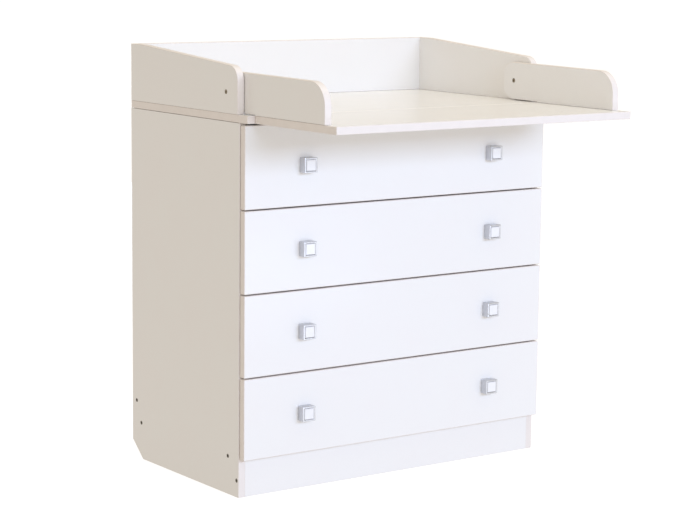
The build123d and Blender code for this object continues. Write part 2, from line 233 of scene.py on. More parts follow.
@dataclass(frozen=True)
class EdgeTrim:
    """How a board's edges are finished.

    Attributes:
        rounding: radius of a fully rounded edge.
        seam: width of the hairline between the face and the edging.
        seam_depth: depth of that hairline.
        facets: steps of the rounding.
    """

    rounding: float = 1.0 * MM
    seam: float = 0.36 * MM
    seam_depth: float = 0.1 * MM
    facets: int = 7

    def profile(self) -> tuple:
        """Insets and heights of the steps from a face to half way up the edge.

        From the face inwards the board has its hairline seam, then a quarter turn of the rounding,
        inset radius * (1 - sin a) at height radius * (1 - cos a), then one step that holds the
        straight of the edge flat.

        Returns:
            Insets that scale with an edge's share, insets that don't, and heights.
        """
        turn = np.linspace(0, np.pi / 2, self.facets)
        shared = np.concatenate(
            [np.full(3, self.rounding), self.rounding * (1 - np.sin(turn)), [0]]
        )
        fixed = np.concatenate([np.array([1.0, 0.6, 0.2]) * self.seam, np.zeros(self.facets + 1)])
        height = np.concatenate(
            [[0, self.seam_depth, 0], self.rounding * (1 - np.cos(turn)), [1.4 * self.rounding]]
        )
        return shared, fixed, height


def board(
    outline: Outline, low: float, high: float, lie: Lie, trim: EdgeTrim = EdgeTrim()
) -> Shell:
    """Board cut to an outline, its faces laminated and its edges banded.

    The trim's profile is carried round the outline. At a corner the inset point is where the two
    edges' inset lines cross: with unit normals a and b, insets p and q and c = a . b it is
    ((p - c q) a + (q - c p) b) / (1 - c c) from the corner. Where the edges are nearly in line it
    is (a + b) / (1 + c) times the mean inset.

    Args:
        outline: outline in the board's own two directions.
        low: lower face of the board across its thickness.
        high: upper face.
        lie: which world axes those directions are.
        trim: edge finish.

    Returns:
        The shell, with the laminate as coat 0 and the edging as coat 1.
    """
    edge = np.roll(outline.points, -1, axis=0) - outline.points
    edge /= np.linalg.norm(edge, axis=1, keepdims=True)
    on = np.stack([-edge[:, 1], edge[:, 0]], axis=1)
    back = np.roll(on, 1, axis=0)
    shared, fixed, height = trim.profile()
    q = shared[:, None] * outline.shares + fixed[:, None]
    p = shared[:, None] * np.roll(outline.shares, 1) + fixed[:, None]
    c = np.sum(on * back, axis=1)
    bent = 1 - np.where(c > 0.9, 0, c) ** 2
    crossing = ((p - c * q) / bent)[..., None] * back + ((q - c * p) / bent)[..., None] * on
    straight = ((p + q) / 2 / (1 + np.maximum(c, 0)))[..., None] * (back + on)
    inset = outline.points + np.where((c > 0.9)[:, None], straight, crossing)
    plan = np.concatenate([inset, inset[::-1]])
    level = np.concatenate([low + height, (high - height)[::-1]])
    rings = np.empty(plan.shape[:2] + (3,))
    rings[..., lie.value[0]] = plan[..., 0]
    rings[..., lie.value[1]] = plan[..., 1]
    rings[..., lie.value[2]] = level[:, None]
    if lie is Lie.ON_EDGE_FACING_FRONT:
        rings = rings[:, ::-1]
    banded = np.zeros(len(rings) - 1, int)
    banded[2:-2] = 1
    return skin(rings, banded)


def axes_about(inward: tuple) -> np.ndarray:
    """Two unit vectors square to a direction, anticlockwise about it, and the direction itself."""
    way = np.asarray(inward, float)
    across = np.array([0.0, 0.0, 1.0]) if abs(way[2]) < 0.5 else np.array([0.0, 1.0, 0.0])
    return np.stack([across, np.cross(way, across), way])


def turned(profile: list, origin: tuple, inward: tuple, coats: np.ndarray | int = 0) -> Shell:
    """Piece turned about an axis, some of it with a hexagonal section.

    The point at angle a of a step is origin + depth * inward + r(a) * (cos a, sin a). r is the
    radius on a round step, and radius * cos(30) / cos(a mod 60 - 30) on a hexagonal one.

    Args:
        profile: (radius, depth, Section) steps, from the middle of the outer face to the tip.
        origin: point of the axis in the surface that the piece goes into.
        inward: direction that it goes in.
        coats: finish of each band of faces.

    Returns:
        The shell.
    """
    radius, depth = (np.array([step[k] for step in profile]) for k in (0, 1))
    hexed = np.array([step[2] is Section.HEXAGON for step in profile])
    angle = np.arange(48) * 2 * np.pi / 48
    flat = np.cos(np.pi / 6) / np.cos(np.mod(angle, np.pi / 3) - np.pi / 6)
    reach = radius[:, None] * np.where(hexed[:, None], flat, 1.0)
    one, two, way = axes_about(inward)
    rings = (
        np.asarray(origin, float)
        + depth[:, None, None] * way
        + (reach * np.cos(angle))[..., None] * one
        + (reach * np.sin(angle))[..., None] * two
    )
    return skin(rings, coats, 0)


def squared(
    half: list | np.ndarray,
    corner: list,
    depth: list | np.ndarray,
    origin: tuple,
    inward: tuple,
) -> Shell:
    """Square piece with rounded corners, its size changing with depth.

    Each step is four quarter circles of its corner radius about (+-(half - corner),
    +-(half - corner)), at its depth along the inward direction.

    Args:
        half: half of each step's side.
        corner: corner radius of each step.
        depth: depth of each step behind the origin.
        origin: middle of the outer face.
        inward: direction that the piece goes back in.

    Returns:
        The shell.
    """
    half, corner, depth = (np.asarray(v, float)[:, None] for v in (half, corner, depth))
    angle = (np.arange(4)[:, None] * np.pi / 2 + np.linspace(0, np.pi / 2, 7)).reshape(-1)
    quadrant = np.repeat(np.arange(4) * np.pi / 2 + np.pi / 4, 7)
    u = (half - corner) * np.sign(np.cos(quadrant)) + corner * np.cos(angle)
    v = (half - corner) * np.sign(np.sin(quadrant)) + corner * np.sin(angle)
    one, two, way = axes_about(inward)
    rings = np.asarray(origin, float) + u[..., None] * one + v[..., None] * two
    return skin(rings + depth[..., None] * way)


def set_out(name: str, shell: Shell, coats: list) -> bpy.types.Object:
    """Make an object of a shell.

    Args:
        name: name of the piece.
        shell: its surface.
        coats: its materials, in the order that the shell numbers them.

    Returns:
        The object, at the origin, with its place in its mesh.
    """
    mesh = bpy.data.meshes.new(name)
    mesh.from_pydata(shell.points.tolist(), [], shell.faces)
    mesh.polygons.foreach_set("material_index", shell.coats.astype(np.int32))
    mesh.update()
    piece = bpy.data.objects.new(name, mesh)
    for coat in coats:
        mesh.materials.append(coat)
    bpy.context.scene.collection.objects.link(piece)
    return piece


def bore(piece: bpy.types.Object, cutters: Shell) -> None:
    """Cut closed shells out of a piece, and keep the result as its mesh."""
    tool = set_out(piece.name + "_tool", cutters, list(piece.data.materials))
    cut = piece.modifiers.new("bore", "BOOLEAN")
    cut.operation, cut.solver, cut.object = "DIFFERENCE", "EXACT", tool
    bpy.context.view_layer.update()
    solid = piece.evaluated_get(bpy.context.evaluated_depsgraph_get())
    mesh = bpy.data.meshes.new_from_object(solid)
    piece.modifiers.clear()
    piece.data = mesh
    bpy.data.objects.remove(tool)


def fit(piece: bpy.types.Object, body: str, nodes: list) -> None:
    """Shade a finished piece, and put it in the frame.

    Args:
        piece: the piece.
        body: CAD body that it rides on.
        nodes: CAD nodes that it stands for.
    """
    mesh = piece.data
    mesh.polygons.foreach_set("use_smooth", np.ones(len(mesh.polygons), bool))
    mesh.set_sharp_from_angle(angle=SHARP_ANGLE)
    mesh.update()
    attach(piece, body)
    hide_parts(*nodes)
    LOG.info("%s: %d faces, on %s", piece.name, len(mesh.polygons), body)


def dress(node: str, coat: bpy.types.Material) -> None:
    """Give a CAD piece that keeps its shape its finish."""
    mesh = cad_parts[node].data
    if not mesh.materials:
        mesh.materials.append(coat)
    for number in range(len(mesh.materials)):
        mesh.materials[number] = coat
    LOG.info("%s: dressed in %s", node, coat.name)


# ---------------------------------------------------------------------------- finishes


def linear(code: str) -> tuple:
    """Linear RGBA of an sRGB hex code such as "#F2F1EE"."""
    part = [int(code[i : i + 2], 16) / 255 for i in (1, 3, 5)]
    return tuple(c / 12.92 if c <= 0.04045 else ((c + 0.055) / 1.055) ** 2.4 for c in part) + (1.0,)


def add(tree: bpy.types.NodeTree, kind: str, settings: dict, sockets: dict) -> bpy.types.Node:
    """Add a node.

    Args:
        tree: tree that it goes in.
        kind: type name of the node.
        settings: its properties.
        sockets: its inputs by name or number, each a value or the output linked to it.

    Returns:
        The node.
    """
    node = tree.nodes.new(kind)
    for key, value in settings.items():
        setattr(node, key, value)
    for key, value in sockets.items():
        if isinstance(value, bpy.types.NodeSocket):
            tree.links.new(value, node.inputs[key])
        else:
            node.inputs[key].default_value = value
    return node


@dataclass(frozen=True)
class Finish:
    """A finish of two close tones, mixed in soft patches, with a surface of its own.

    Attributes:
        name: plain name of the finish.
        light: sRGB tone of most of it.
        dark: sRGB tone of the patches.
        patch: size of the patches.
        roughness: middle roughness.
        swing: how far roughness varies round it.
        metallic: 1 for bare or plated metal.
        ior: index of refraction.
        coat: weight of a clear top coat.
    """

    name: str
    light: str
    dark: str
    patch: float
    roughness: float
    swing: float
    metallic: float = 0.0
    ior: float = 1.5
    coat: float = 0.0

    def relief(self, tree: bpy.types.NodeTree, place: bpy.types.NodeSocket) -> tuple:
        """Height pattern of the surface and its depth in metres. Each finish gives its own."""
        raise NotImplementedError

    def blot(self, tree: bpy.types.NodeTree, place: bpy.types.NodeSocket) -> bpy.types.NodeSocket:
        """Pattern from 0 to 1 that mixes the two tones."""
        patches = add(
            tree,
            "ShaderNodeTexNoise",
            {},
            {"Vector": place, "Scale": 1 / self.patch, "Detail": 4.0},
        )
        spread = add(
            tree,
            "ShaderNodeMapRange",
            {"clamp": True},
            {"Value": patches.outputs["Fac"], "From Min": 0.32, "From Max": 0.68},
        )
        return spread.outputs["Result"]

    def build(self) -> bpy.types.Material:
        """Make the material."""
        material = bpy.data.materials.new(self.name)
        material.use_nodes = True
        tree = material.node_tree
        shader = tree.nodes["Principled BSDF"]
        place = add(tree, "ShaderNodeTexCoord", {}, {}).outputs["Object"]
        mixed = self.blot(tree, place)
        tone = add(
            tree,
            "ShaderNodeMix",
            {"data_type": "RGBA"},
            {0: mixed, 6: linear(self.light), 7: linear(self.dark)},
        )
        rough = add(
            tree,
            "ShaderNodeMapRange",
            {},
            {
                "Value": mixed,
                "To Min": self.roughness - self.swing,
                "To Max": self.roughness + self.swing,
            },
        )
        height, depth = self.relief(tree, place)
        bump = add(
            tree, "ShaderNodeBump", {}, {"Height": height, "Distance": depth, "Strength": 1.0}
        )
        tree.links.new(tone.outputs[2], shader.inputs["Base Color"])
        tree.links.new(rough.outputs["Result"], shader.inputs["Roughness"])
        tree.links.new(bump.outputs["Normal"], shader.inputs["Normal"])
        shader.inputs["Metallic"].default_value = self.metallic
        shader.inputs["IOR"].default_value = self.ior
        shader.inputs["Coat Weight"].default_value = self.coat
        if self.coat:
            shader.inputs["Coat Roughness"].default_value = 0.08
        return material


@dataclass(frozen=True)
class MelamineLaminate(Finish):
    """White melamine pressed on chipboard against a satin plate.

    The plate leaves a very shallow pebble of about 2 mm, and the chips under it a wave of about
    40 mm: the eye gets a smooth sheen whose edges wander a little.
    """

    def relief(self, tree: bpy.types.NodeTree, place: bpy.types.NodeSocket) -> tuple:
        """Pebble of the press plate over the wave of the chips."""
        pebble = add(
            tree, "ShaderNodeTexNoise", {}, {"Vector": place, "Scale": 480.0, "Detail": 1.0}
        )
        wave = add(tree, "ShaderNodeTexNoise", {}, {"Vector": place, "Scale": 24.0, "Detail": 1.0})
        both = add(
            tree,
            "ShaderNodeMath",
            {"operation": "MULTIPLY_ADD"},
            {0: wave.outputs["Fac"], 1: 0.8, 2: pebble.outputs["Fac"]},
        )
        return both.outputs["Value"], 0.003 * MM


@dataclass(frozen=True)
class EdgeBand(Finish):
    """Extruded ABS edging, a shade off the laminate, with a fine grain."""

    def relief(self, tree: bpy.types.NodeTree, place: bpy.types.NodeSocket) -> tuple:
        """Grain of round cells, drawn 1.5 mm wide because the real one is too fine to show."""
        cells = add(
            tree,
            "ShaderNodeTexVoronoi",
            {"feature": "SMOOTH_F1"},
            {"Vector": place, "Scale": 650.0},
        )
        return cells.outputs["Distance"], 0.015 * MM


@dataclass(frozen=True)
class PaintedHardboard(Finish):
    """White-painted hardboard, matt, with the pressed fibres showing through the paint."""

    def relief(self, tree: bpy.types.NodeTree, place: bpy.types.NodeSocket) -> tuple:
        """Pressed fibres of about 1.5 mm, warped so that they curl."""
        fibre = add(
            tree,
            "ShaderNodeTexNoise",
            {},
            {"Vector": place, "Scale": 700.0, "Detail": 3.0, "Distortion": 1.5},
        )
        return fibre.outputs["Fac"], 0.05 * MM


@dataclass(frozen=True)
class ZincPlatedSteel(Finish):
    """Rolled steel strip with bright zinc: a faint spangle of 4 mm flakes."""

    def relief(self, tree: bpy.types.NodeTree, place: bpy.types.NodeSocket) -> tuple:
        """Spangle flakes about 4 mm across, barely raised."""
        flake = add(tree, "ShaderNodeTexVoronoi", {}, {"Vector": place, "Scale": 250.0})
        return flake.outputs["Distance"], 0.002 * MM


@dataclass(frozen=True)
class BurnishedSteel(Finish):
    """Brownish burnished steel of screws and connectors, oily and a little rubbed."""

    def relief(self, tree: bpy.types.NodeTree, place: bpy.types.NodeSocket) -> tuple:
        """Forging scale of about half a millimetre."""
        scale = add(
            tree, "ShaderNodeTexNoise", {}, {"Vector": place, "Scale": 1900.0, "Detail": 3.0}
        )
        return scale.outputs["Fac"], 0.012 * MM


@dataclass(frozen=True)
class SatinChrome(Finish):
    """Die-cast zinc with satin chrome, its brushing drawn at half a millimetre to show."""

    def relief(self, tree: bpy.types.NodeTree, place: bpy.types.NodeSocket) -> tuple:
        """Brush lines running along the width of the knob."""
        drawn = add(tree, "ShaderNodeMapping", {}, {"Vector": place, "Scale": (0.06, 0.06, 1.0)})
        lines = add(
            tree, "ShaderNodeTexNoise", {}, {"Vector": drawn.outputs["Vector"], "Scale": 2000.0}
        )
        return lines.outputs["Fac"], 0.004 * MM


@dataclass(frozen=True)
class MouldedPlastic(Finish):
    """Glossy moulded ABS of the knobs' inserts, with the faint draw of the mould."""

    def relief(self, tree: bpy.types.NodeTree, place: bpy.types.NodeSocket) -> tuple:
        """Shallow sink marks of about 6 mm."""
        sink = add(tree, "ShaderNodeTexNoise", {}, {"Vector": place, "Scale": 160.0, "Detail": 1.0})
        return sink.outputs["Fac"], 0.02 * MM


@dataclass(frozen=True)
class BeechDowel(Finish):
    """Pressed beech dowel, with its grain along the rod."""

    def relief(self, tree: bpy.types.NodeTree, place: bpy.types.NodeSocket) -> tuple:
        """Pores of 0.6 mm stretched upwards along the grain."""
        drawn = add(tree, "ShaderNodeMapping", {}, {"Vector": place, "Scale": (1.0, 1.0, 0.08)})
        pores = add(
            tree, "ShaderNodeTexNoise", {}, {"Vector": drawn.outputs["Vector"], "Scale": 1600.0}
        )
        return pores.outputs["Fac"], 0.05 * MM


class Coats:
    """Every finish of the table, made once. Banded is a board's faces and its edges."""

    def __init__(self) -> None:
        """Make the materials."""
        self.laminate = MelamineLaminate(
            "White melamine laminate", "#F3F2F0", "#F3F1EF", 90 * MM, 0.22, 0.006
        ).build()
        edging = EdgeBand("White ABS edging", "#F0E9E4", "#EDE6E1", 25 * MM, 0.38, 0.04).build()
        self.banded = [self.laminate, edging]
        self.hardboard = PaintedHardboard(
            "White painted hardboard", "#E9E7E2", "#E5E3DD", 7 * MM, 0.62, 0.04
        ).build()
        self.zinc = ZincPlatedSteel(
            "Zinc-plated runner steel", "#BDBFC2", "#B8BABD", 14 * MM, 0.38, 0.03, metallic=1.0
        ).build()
        self.screw = BurnishedSteel(
            "Burnished screw steel", "#807A70", "#6A645C", 2 * MM, 0.42, 0.08, metallic=1.0
        ).build()
        self.pivot = BurnishedSteel(
            "Bronzed connector steel", "#988C78", "#857A68", 2 * MM, 0.4, 0.08, metallic=1.0
        ).build()
        self.dowel = BeechDowel("Pressed beech", "#D9B98C", "#C7A273", 3 * MM, 0.6, 0.05).build()
        self.knob = SatinChrome(
            "Satin chrome", "#D0D0D3", "#C9CACD", 8 * MM, 0.33, 0.04, metallic=1.0
        ).build()
        self.insert = MouldedPlastic(
            "Gloss white ABS", "#F6F6F7", "#F2F2F4", 10 * MM, 0.16, 0.03, coat=0.4
        ).build()


# ---------------------------------------------------------------------------- pieces


def screw_head(
    head: float, shank: float, sink: float, length: float, origin: tuple, inward: tuple
) -> Shell:
    """Countersunk screw with a hexagon socket, its head flush with the board.

    Args:
        head: radius of the head.
        shank: radius of the shank.
        sink: depth of the countersink.
        length: length of the screw.
        origin: middle of the head's face.
        inward: direction that it goes in.

    Returns:
        The shell.
    """
    socket, chamfer = 2.6 * MM, 0.25 * MM
    steps = [
        (0.25 * socket, 2.0 * MM, Section.ROUND),
        (0.96 * socket, 1.8 * MM, Section.HEXAGON),
        (socket, 1.7 * MM, Section.HEXAGON),
        (socket, 0.25 * MM, Section.HEXAGON),
        (socket + chamfer, 0.06 * MM, Section.HEXAGON),
        (socket + 2 * chamfer, 0.05 * MM, Section.ROUND),
        (head - 2 * chamfer, 0.03 * MM, Section.ROUND),
        (head - 0.5 * chamfer, 0.1 * MM, Section.ROUND),
        (head, 0.35 * MM, Section.ROUND),
        (shank, sink, Section.ROUND),
        (shank, length - 3 * MM, Section.ROUND),
        (0.3 * shank, length, Section.ROUND),
    ]
    return turned(steps, origin, inward)


def screw_hole(head: float, depth: float, origin: tuple, inward: tuple) -> Shell:
    """Tool for a hole with a broken rim, starting just outside the board."""
    rim = 0.3 * MM
    steps = [
        (head + 2 * rim, -0.5 * MM, Section.ROUND),
        (head + rim, 0.0, Section.ROUND),
        (head + 0.1 * MM, rim, Section.ROUND),
        (head + 0.1 * MM, depth, Section.ROUND),
    ]
    return turned(steps, origin, inward, 1)


@dataclass
class Carcass:
    """Sides, plinth, rails, back and runners of the cabinet.

    Attributes:
        coats: finishes.
        toe_length: how far the skirting cut reaches in from the back.
        toe_height: how high it reaches.
        joint: dark joint left under the fixed board.
        screw_radius: radius of the carcass screws' heads.
        screw_shank: radius of their shanks.
        screw_length: length of a screw.
        side_trim: how the sides' edges are finished.
        screw_spots: screw heads from the front of a side and from the floor, the last two
            measured from the back.
    """

    coats: Coats
    toe_length: float = 45 * MM
    toe_height: float = 38 * MM
    joint: float = 0.8 * MM
    screw_radius: float = 4.3 * MM
    screw_shank: float = 3.2 * MM
    screw_length: float = 50 * MM
    side_trim: EdgeTrim = EdgeTrim(rounding=0.5 * MM, seam=0.16 * MM, seam_depth=0.05 * MM)
    screw_spots: tuple = ((42, 82), (402, 82), (8, 36), (422, 130))

    def side(self, node: str, outer: float, inward: float) -> None:
        """Side panel with its skirting cut and screw holes.

        Args:
            node: CAD node of the side.
            outer: x of its outer face.
            inward: 1 where the inside is towards +X, or -1.
        """
        low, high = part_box(node)
        outline = trace(
            ([(low.y, low.z), (high.y - self.toe_length, low.z)], 0.4),
            ([(high.y, low.z + self.toe_height)], 0.4),
            ([(high.y, high.z - self.joint)], 0.0),
            ([(low.y, high.z - self.joint)], 1.0),
        )
        piece = set_out(
            node.replace("_panel", "_board"),
            board(outline, low.x, high.x, Lie.ON_EDGE_SIDEWAYS, self.side_trim),
            self.coats.banded,
        )
        holes = [
            screw_hole(self.screw_radius, SCREW_HOLE_DEPTH, spot, (inward, 0, 0))
            for spot in self.spots(low, outer)
        ]
        bore(piece, gather(holes))
        fit(piece, "cabinet", [node])

    def spots(self, low: Vector, outer: float) -> list:
        """Middles of the screw heads on one side."""
        return [(outer, low.y + a * MM, b * MM) for a, b in self.screw_spots]

    def screws(self) -> None:
        """Screw heads in both sides."""
        heads = []
        sizes = (self.screw_radius, self.screw_shank, SCREW_SINK, self.screw_length)
        for node, inward in (("side_panel_left", 1), ("side_panel_right", -1)):
            low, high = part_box(node)
            outer = low.x if inward > 0 else high.x
            heads += [
                screw_head(*sizes, spot, (inward, 0, 0)) for spot in self.spots(low, outer)
            ]
        piece = set_out("carcass_screw_heads", gather(heads), [self.coats.screw])
        fit(piece, "cabinet", ["carcass_screws"])

    def plinth(self) -> None:
        """Plinth between the sides."""
        low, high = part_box("plinth")
        outline = rectangle((low.x, low.z), (high.x, high.z), (0.4, 0, 0.4, 0))
        shell = board(outline, low.y, high.y, Lie.ON_EDGE_FACING_FRONT)
        piece = set_out("plinth_board", shell, self.coats.banded)
        fit(piece, "cabinet", ["plinth"])

    def build(self) -> None:
        """Make the sides, plinth and screws, and dress the pieces that keep their shape."""
        self.side("side_panel_left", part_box("side_panel_left")[0].x, 1)
        self.side("side_panel_right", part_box("side_panel_right")[1].x, -1)
        self.plinth()
        self.screws()
        for node in ("bottom_panel", "rear_lower_rail", "top_rail_front", "top_rail_rear"):
            dress(node, self.coats.laminate)
        dress("back_panel", self.coats.hardboard)
        dress("cabinet_runners", self.coats.zinc)
        dress("guard_dowels", self.coats.dowel)


@dataclass
class Pivots:
    """Sleeve connectors that the fold-out top turns on.

    Attributes:
        coats: finishes.
    """

    coats: Coats

    def build(self) -> None:
        """Make one connector in each side, with a socket at both ends."""
        low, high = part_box("pivot_bolts")
        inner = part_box("flap_guard_right")[0].x
        y, z = (low.y + high.y) / 2, (low.z + high.z) / 2
        shells = [
            self.connector((side * high.x, y, z), (-side, 0, 0), high.x - inner) for side in (-1, 1)
        ]
        piece = set_out("pivot_connectors", gather(shells), [self.coats.pivot])
        fit(piece, "cabinet", ["pivot_bolts"])

    def connector(self, origin: tuple, inward: tuple, length: float) -> Shell:
        """One connector, head, sleeve and head.

        Args:
            origin: middle of the outer head's face.
            inward: direction to the other head.
            length: distance between the heads' faces.

        Returns:
            The shell.
        """
        socket, head, deep = 2.4 * MM, PIVOT_HEAD, PIVOT_HEAD_DEPTH
        end = [
            (0.3 * socket, 2.0 * MM, Section.ROUND),
            (socket, 1.8 * MM, Section.HEXAGON),
            (socket, 0.25 * MM, Section.HEXAGON),
            (socket + 0.25 * MM, 0.05 * MM, Section.HEXAGON),
            (socket + 0.5 * MM, 0.03 * MM, Section.ROUND),
            (head - 0.6 * MM, 0.02 * MM, Section.ROUND),
            (head - 0.15 * MM, 0.15 * MM, Section.ROUND),
            (head, 0.5 * MM, Section.ROUND),
            (head, deep, Section.ROUND),
            (PIVOT_SLEEVE, deep, Section.ROUND),
        ]
        far = [(radius, length - depth, section) for radius, depth, section in reversed(end)]
        return turned(end + far, origin, inward)


@dataclass
class ChangingTop:
    """Fixed board with its two side guards and back guard.

    Attributes:
        coats: finishes.
        flat: level stretch at the back of a side guard.
        front_height: height that it falls to at the front.
        front_radius: rounding of its front corner.
        joint: dark joint between a guard and the board.
    """

    coats: Coats
    flat: float = 48 * MM
    front_height: float = 97 * MM
    front_radius: float = 30 * MM
    joint: float = 0.35 * MM

    def top(self) -> None:
        """Fixed board."""
        low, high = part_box("top_board")
        outline = rectangle((low.x, low.y), (high.x, high.y), (1, 1, 0.4, 1), BOARD_CORNER)
        shell = board(outline, low.z, high.z, Lie.FLAT)
        piece = set_out("fixed_board", shell, self.coats.banded)
        fit(piece, "cabinet", ["top_board"])

    def side_guard(self, node: str, side: int) -> None:
        """Side guard, level at the back and falling to a rounded front."""
        low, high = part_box(node)
        corner = (low.y, low.z + self.front_height)
        knee = (high.y - self.flat, high.z)
        front = corner_arc(knee, corner, (low.y, low.z), self.front_radius)
        outline = trace(
            ([(low.y, low.z + self.joint)], 0.0),
            ([(high.y, low.z + self.joint)], 1.0),
            ([(high.y, high.z), knee], 1.0),
            (front, 1.0),
        )
        piece = set_out(
            node.replace("guard", "side_guard"),
            board(outline, low.x, high.x, Lie.ON_EDGE_SIDEWAYS),
            self.coats.banded,
        )
        outer = high.x if side > 0 else low.x
        bore(piece, pivot_hole(outer, (-side, 0, 0), PIVOT_HEAD, PIVOT_HEAD_DEPTH))
        fit(piece, "cabinet", [node])

    def back_guard(self) -> None:
        """Back guard between the side guards."""
        low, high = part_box("guard_back")
        outline = rectangle((low.x, low.z + self.joint), (high.x, high.z), (0, 0, 1, 0))
        shell = board(outline, low.y, high.y, Lie.ON_EDGE_FACING_FRONT)
        piece = set_out("back_guard", shell, self.coats.banded)
        fit(piece, "cabinet", ["guard_back"])

    def build(self) -> None:
        """Make the board and its guards."""
        self.top()
        self.side_guard("guard_left", -1)
        self.side_guard("guard_right", 1)
        self.back_guard()


def pivot_hole(face: float, inward: tuple, head: float, deep: float) -> Shell:
    """Tool for the stepped bore of a pivot connector.

    Args:
        face: x of the face that the head lies in.
        inward: direction from that face into the guard.
        head: radius of the connector's head.
        deep: depth of the head.

    Returns:
        The shell.
    """
    low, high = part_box("pivot_bolts")
    slack = 0.15 * MM
    steps = [
        (head + 4 * slack, -0.5 * MM, Section.ROUND),
        (head + 2 * slack, 0.0, Section.ROUND),
        (head + slack, 0.3 * MM, Section.ROUND),
        (head + slack, deep + slack, Section.ROUND),
        (PIVOT_SLEEVE + slack, deep + slack, Section.ROUND),
        (PIVOT_SLEEVE + slack, 20 * MM, Section.ROUND),
    ]
    return turned(steps, (face, (low.y + high.y) / 2, (low.z + high.z) / 2), inward, 1)


@dataclass
class FoldOutTop:
    """Board that folds out over the drawers, with its two guards.

    Attributes:
        coats: finishes.
        front_height: height of a guard at its front.
        front_radius: rounding of its front corner.
        swing: radius that its rear end turns inside.
        reach: how far the flat rear end lies behind the pivot.
        joint: dark joint between a guard and the board.
        pivot_slack: play of a guard about the connectors' heads.
        pivot_recess: depth of the recess for a connector's head.
        screw_radius: radius of the screws' heads.
        screw_shank: radius of their shanks.
        screw_length: length of a screw.
    """

    coats: Coats
    front_height: float = 82 * MM
    front_radius: float = 48 * MM
    swing: float = 42 * MM
    reach: float = 35 * MM
    joint: float = 0.5 * MM
    pivot_slack: float = 0.25 * MM
    pivot_recess: float = 2.9 * MM
    screw_radius: float = 4.5 * MM
    screw_shank: float = 2.5 * MM
    screw_length: float = 45 * MM

    def leaf(self) -> None:
        """The board itself."""
        low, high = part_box("flap_board")
        outline = rectangle((low.x, low.y), (high.x, high.y), (1, 1, 1, 1), BOARD_CORNER)
        shell = board(outline, low.z, high.z, Lie.FLAT)
        piece = set_out("fold_out_leaf", shell, self.coats.banded)
        fit(piece, "fold_out_top", ["flap_board"])

    def guard(self, node: str, side: int) -> None:
        """Guard whose rear end is rounded about the pivot, so that it clears the fixed board."""
        low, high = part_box(node)
        pin_low, pin_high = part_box("pivot_bolts")
        y, z = (pin_low.y + pin_high.y) / 2, (pin_low.z + pin_high.z) / 2
        leaf_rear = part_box("flap_board")[1].y
        rise = high.z - z
        lower = math.degrees(math.acos(self.reach / self.swing))
        upper = math.degrees(math.asin(rise / self.swing))
        rear_top = (y + math.sqrt(self.swing**2 - rise**2), high.z)
        corner = (low.y, low.z + self.front_height)
        outline = trace(
            ([(low.y, low.z + self.joint), (leaf_rear, low.z + self.joint)], 0.0),
            ([(leaf_rear, z - self.swing)], 0.5),
            (arc((y, z), self.swing, -90, -lower), 1.0),
            (arc((y, z), self.swing, lower, upper), 1.0),
            (corner_arc(rear_top, corner, (low.y, low.z), self.front_radius), 1.0),
        )
        piece = set_out(
            node.replace("flap", "fold_out"),
            board(outline, low.x, high.x, Lie.ON_EDGE_SIDEWAYS),
            self.coats.banded,
        )
        inner = low.x if side > 0 else high.x
        head = PIVOT_HEAD + self.pivot_slack
        bore(piece, pivot_hole(inner, (side, 0, 0), head, self.pivot_recess))
        fit(piece, "fold_out_top", [node])

    def screws(self) -> None:
        """Screws that hold the guards from under the board."""
        leaf_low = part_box("flap_board")[0]
        low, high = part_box("flap_screws")
        head = self.screw_radius
        spots = [
            (x, y, leaf_low.z)
            for x in (low.x + head, high.x - head)
            for y in np.linspace(low.y + head, high.y - head, 3)
        ]
        sizes = (head, self.screw_shank, SCREW_SINK, self.screw_length)
        heads = [screw_head(*sizes, spot, (0, 0, 1)) for spot in spots]
        piece = set_out("fold_out_screws", gather(heads), [self.coats.screw])
        fit(piece, "fold_out_top", ["flap_screws"])
        leaf = bpy.data.objects["fold_out_leaf"]
        holes = [screw_hole(head, SCREW_HOLE_DEPTH, spot, (0, 0, 1)) for spot in spots]
        bore(leaf, gather(holes))
        leaf.data.set_sharp_from_angle(angle=SHARP_ANGLE)

    def build(self) -> None:
        """Make the board, its guards and their screws."""
        self.leaf()
        self.guard("flap_guard_left", -1)
        self.guard("flap_guard_right", 1)
        self.screws()


@dataclass
class Knob:
    """Square metal knob with a white insert in its recess.

    Attributes:
        half: half of its width.
        corner: rounding of its corners.
        chamfer: chamfer round its face.
        opening: half of the opening in its face.
        floor: half of the recess's floor.
        recess: depth of the recess.
        sink: how far the insert lies under the rim.
        tile: half of the insert's width.
    """

    half: float = 16 * MM
    corner: float = 2 * MM
    chamfer: float = 1 * MM
    opening: float = 13 * MM
    floor: float = 11.3 * MM
    recess: float = 2 * MM
    sink: float = 0.2 * MM
    tile: float = 11.1 * MM

    def body(self, face: tuple, length: float) -> Shell:
        """Metal body, from its recess round its rim and back to the drawer front.

        Args:
            face: middle of the knob's face.
            length: how far it stands out.

        Returns:
            The shell.
        """
        step, turn = self.chamfer, self.corner
        half = [self.floor, self.opening - 0.1 * MM, self.opening + 0.15 * MM, self.half - step,
                self.half - 0.35 * step, self.half - 0.08 * step, self.half, self.half,
                self.half - 0.3 * MM]
        corner = [0.5 * MM, 0.7 * MM, 0.8 * MM, turn - 0.6 * step, turn - 0.2 * step, turn, turn,
                  turn, turn - 0.2 * MM]
        depth = [self.recess, 0.1 * MM, 0.0, 0.0, 0.25 * step, 0.6 * step, step, length - 0.3 * MM,
                 length]
        return squared(half, corner, depth, face, (0, 1, 0))

    def insert(self, face: tuple) -> Shell:
        """White tile that fills the floor of the recess."""
        edge = 0.4 * MM
        inset = np.array([3, 1, 0.3, 0, 0]) * edge
        half = self.tile - inset
        depth = np.array([0, 0, 0.3 * edge, edge, self.recess - self.sink]) + self.sink
        return squared(half, [0.6 * MM] * 5, depth, face, (0, 1, 0))


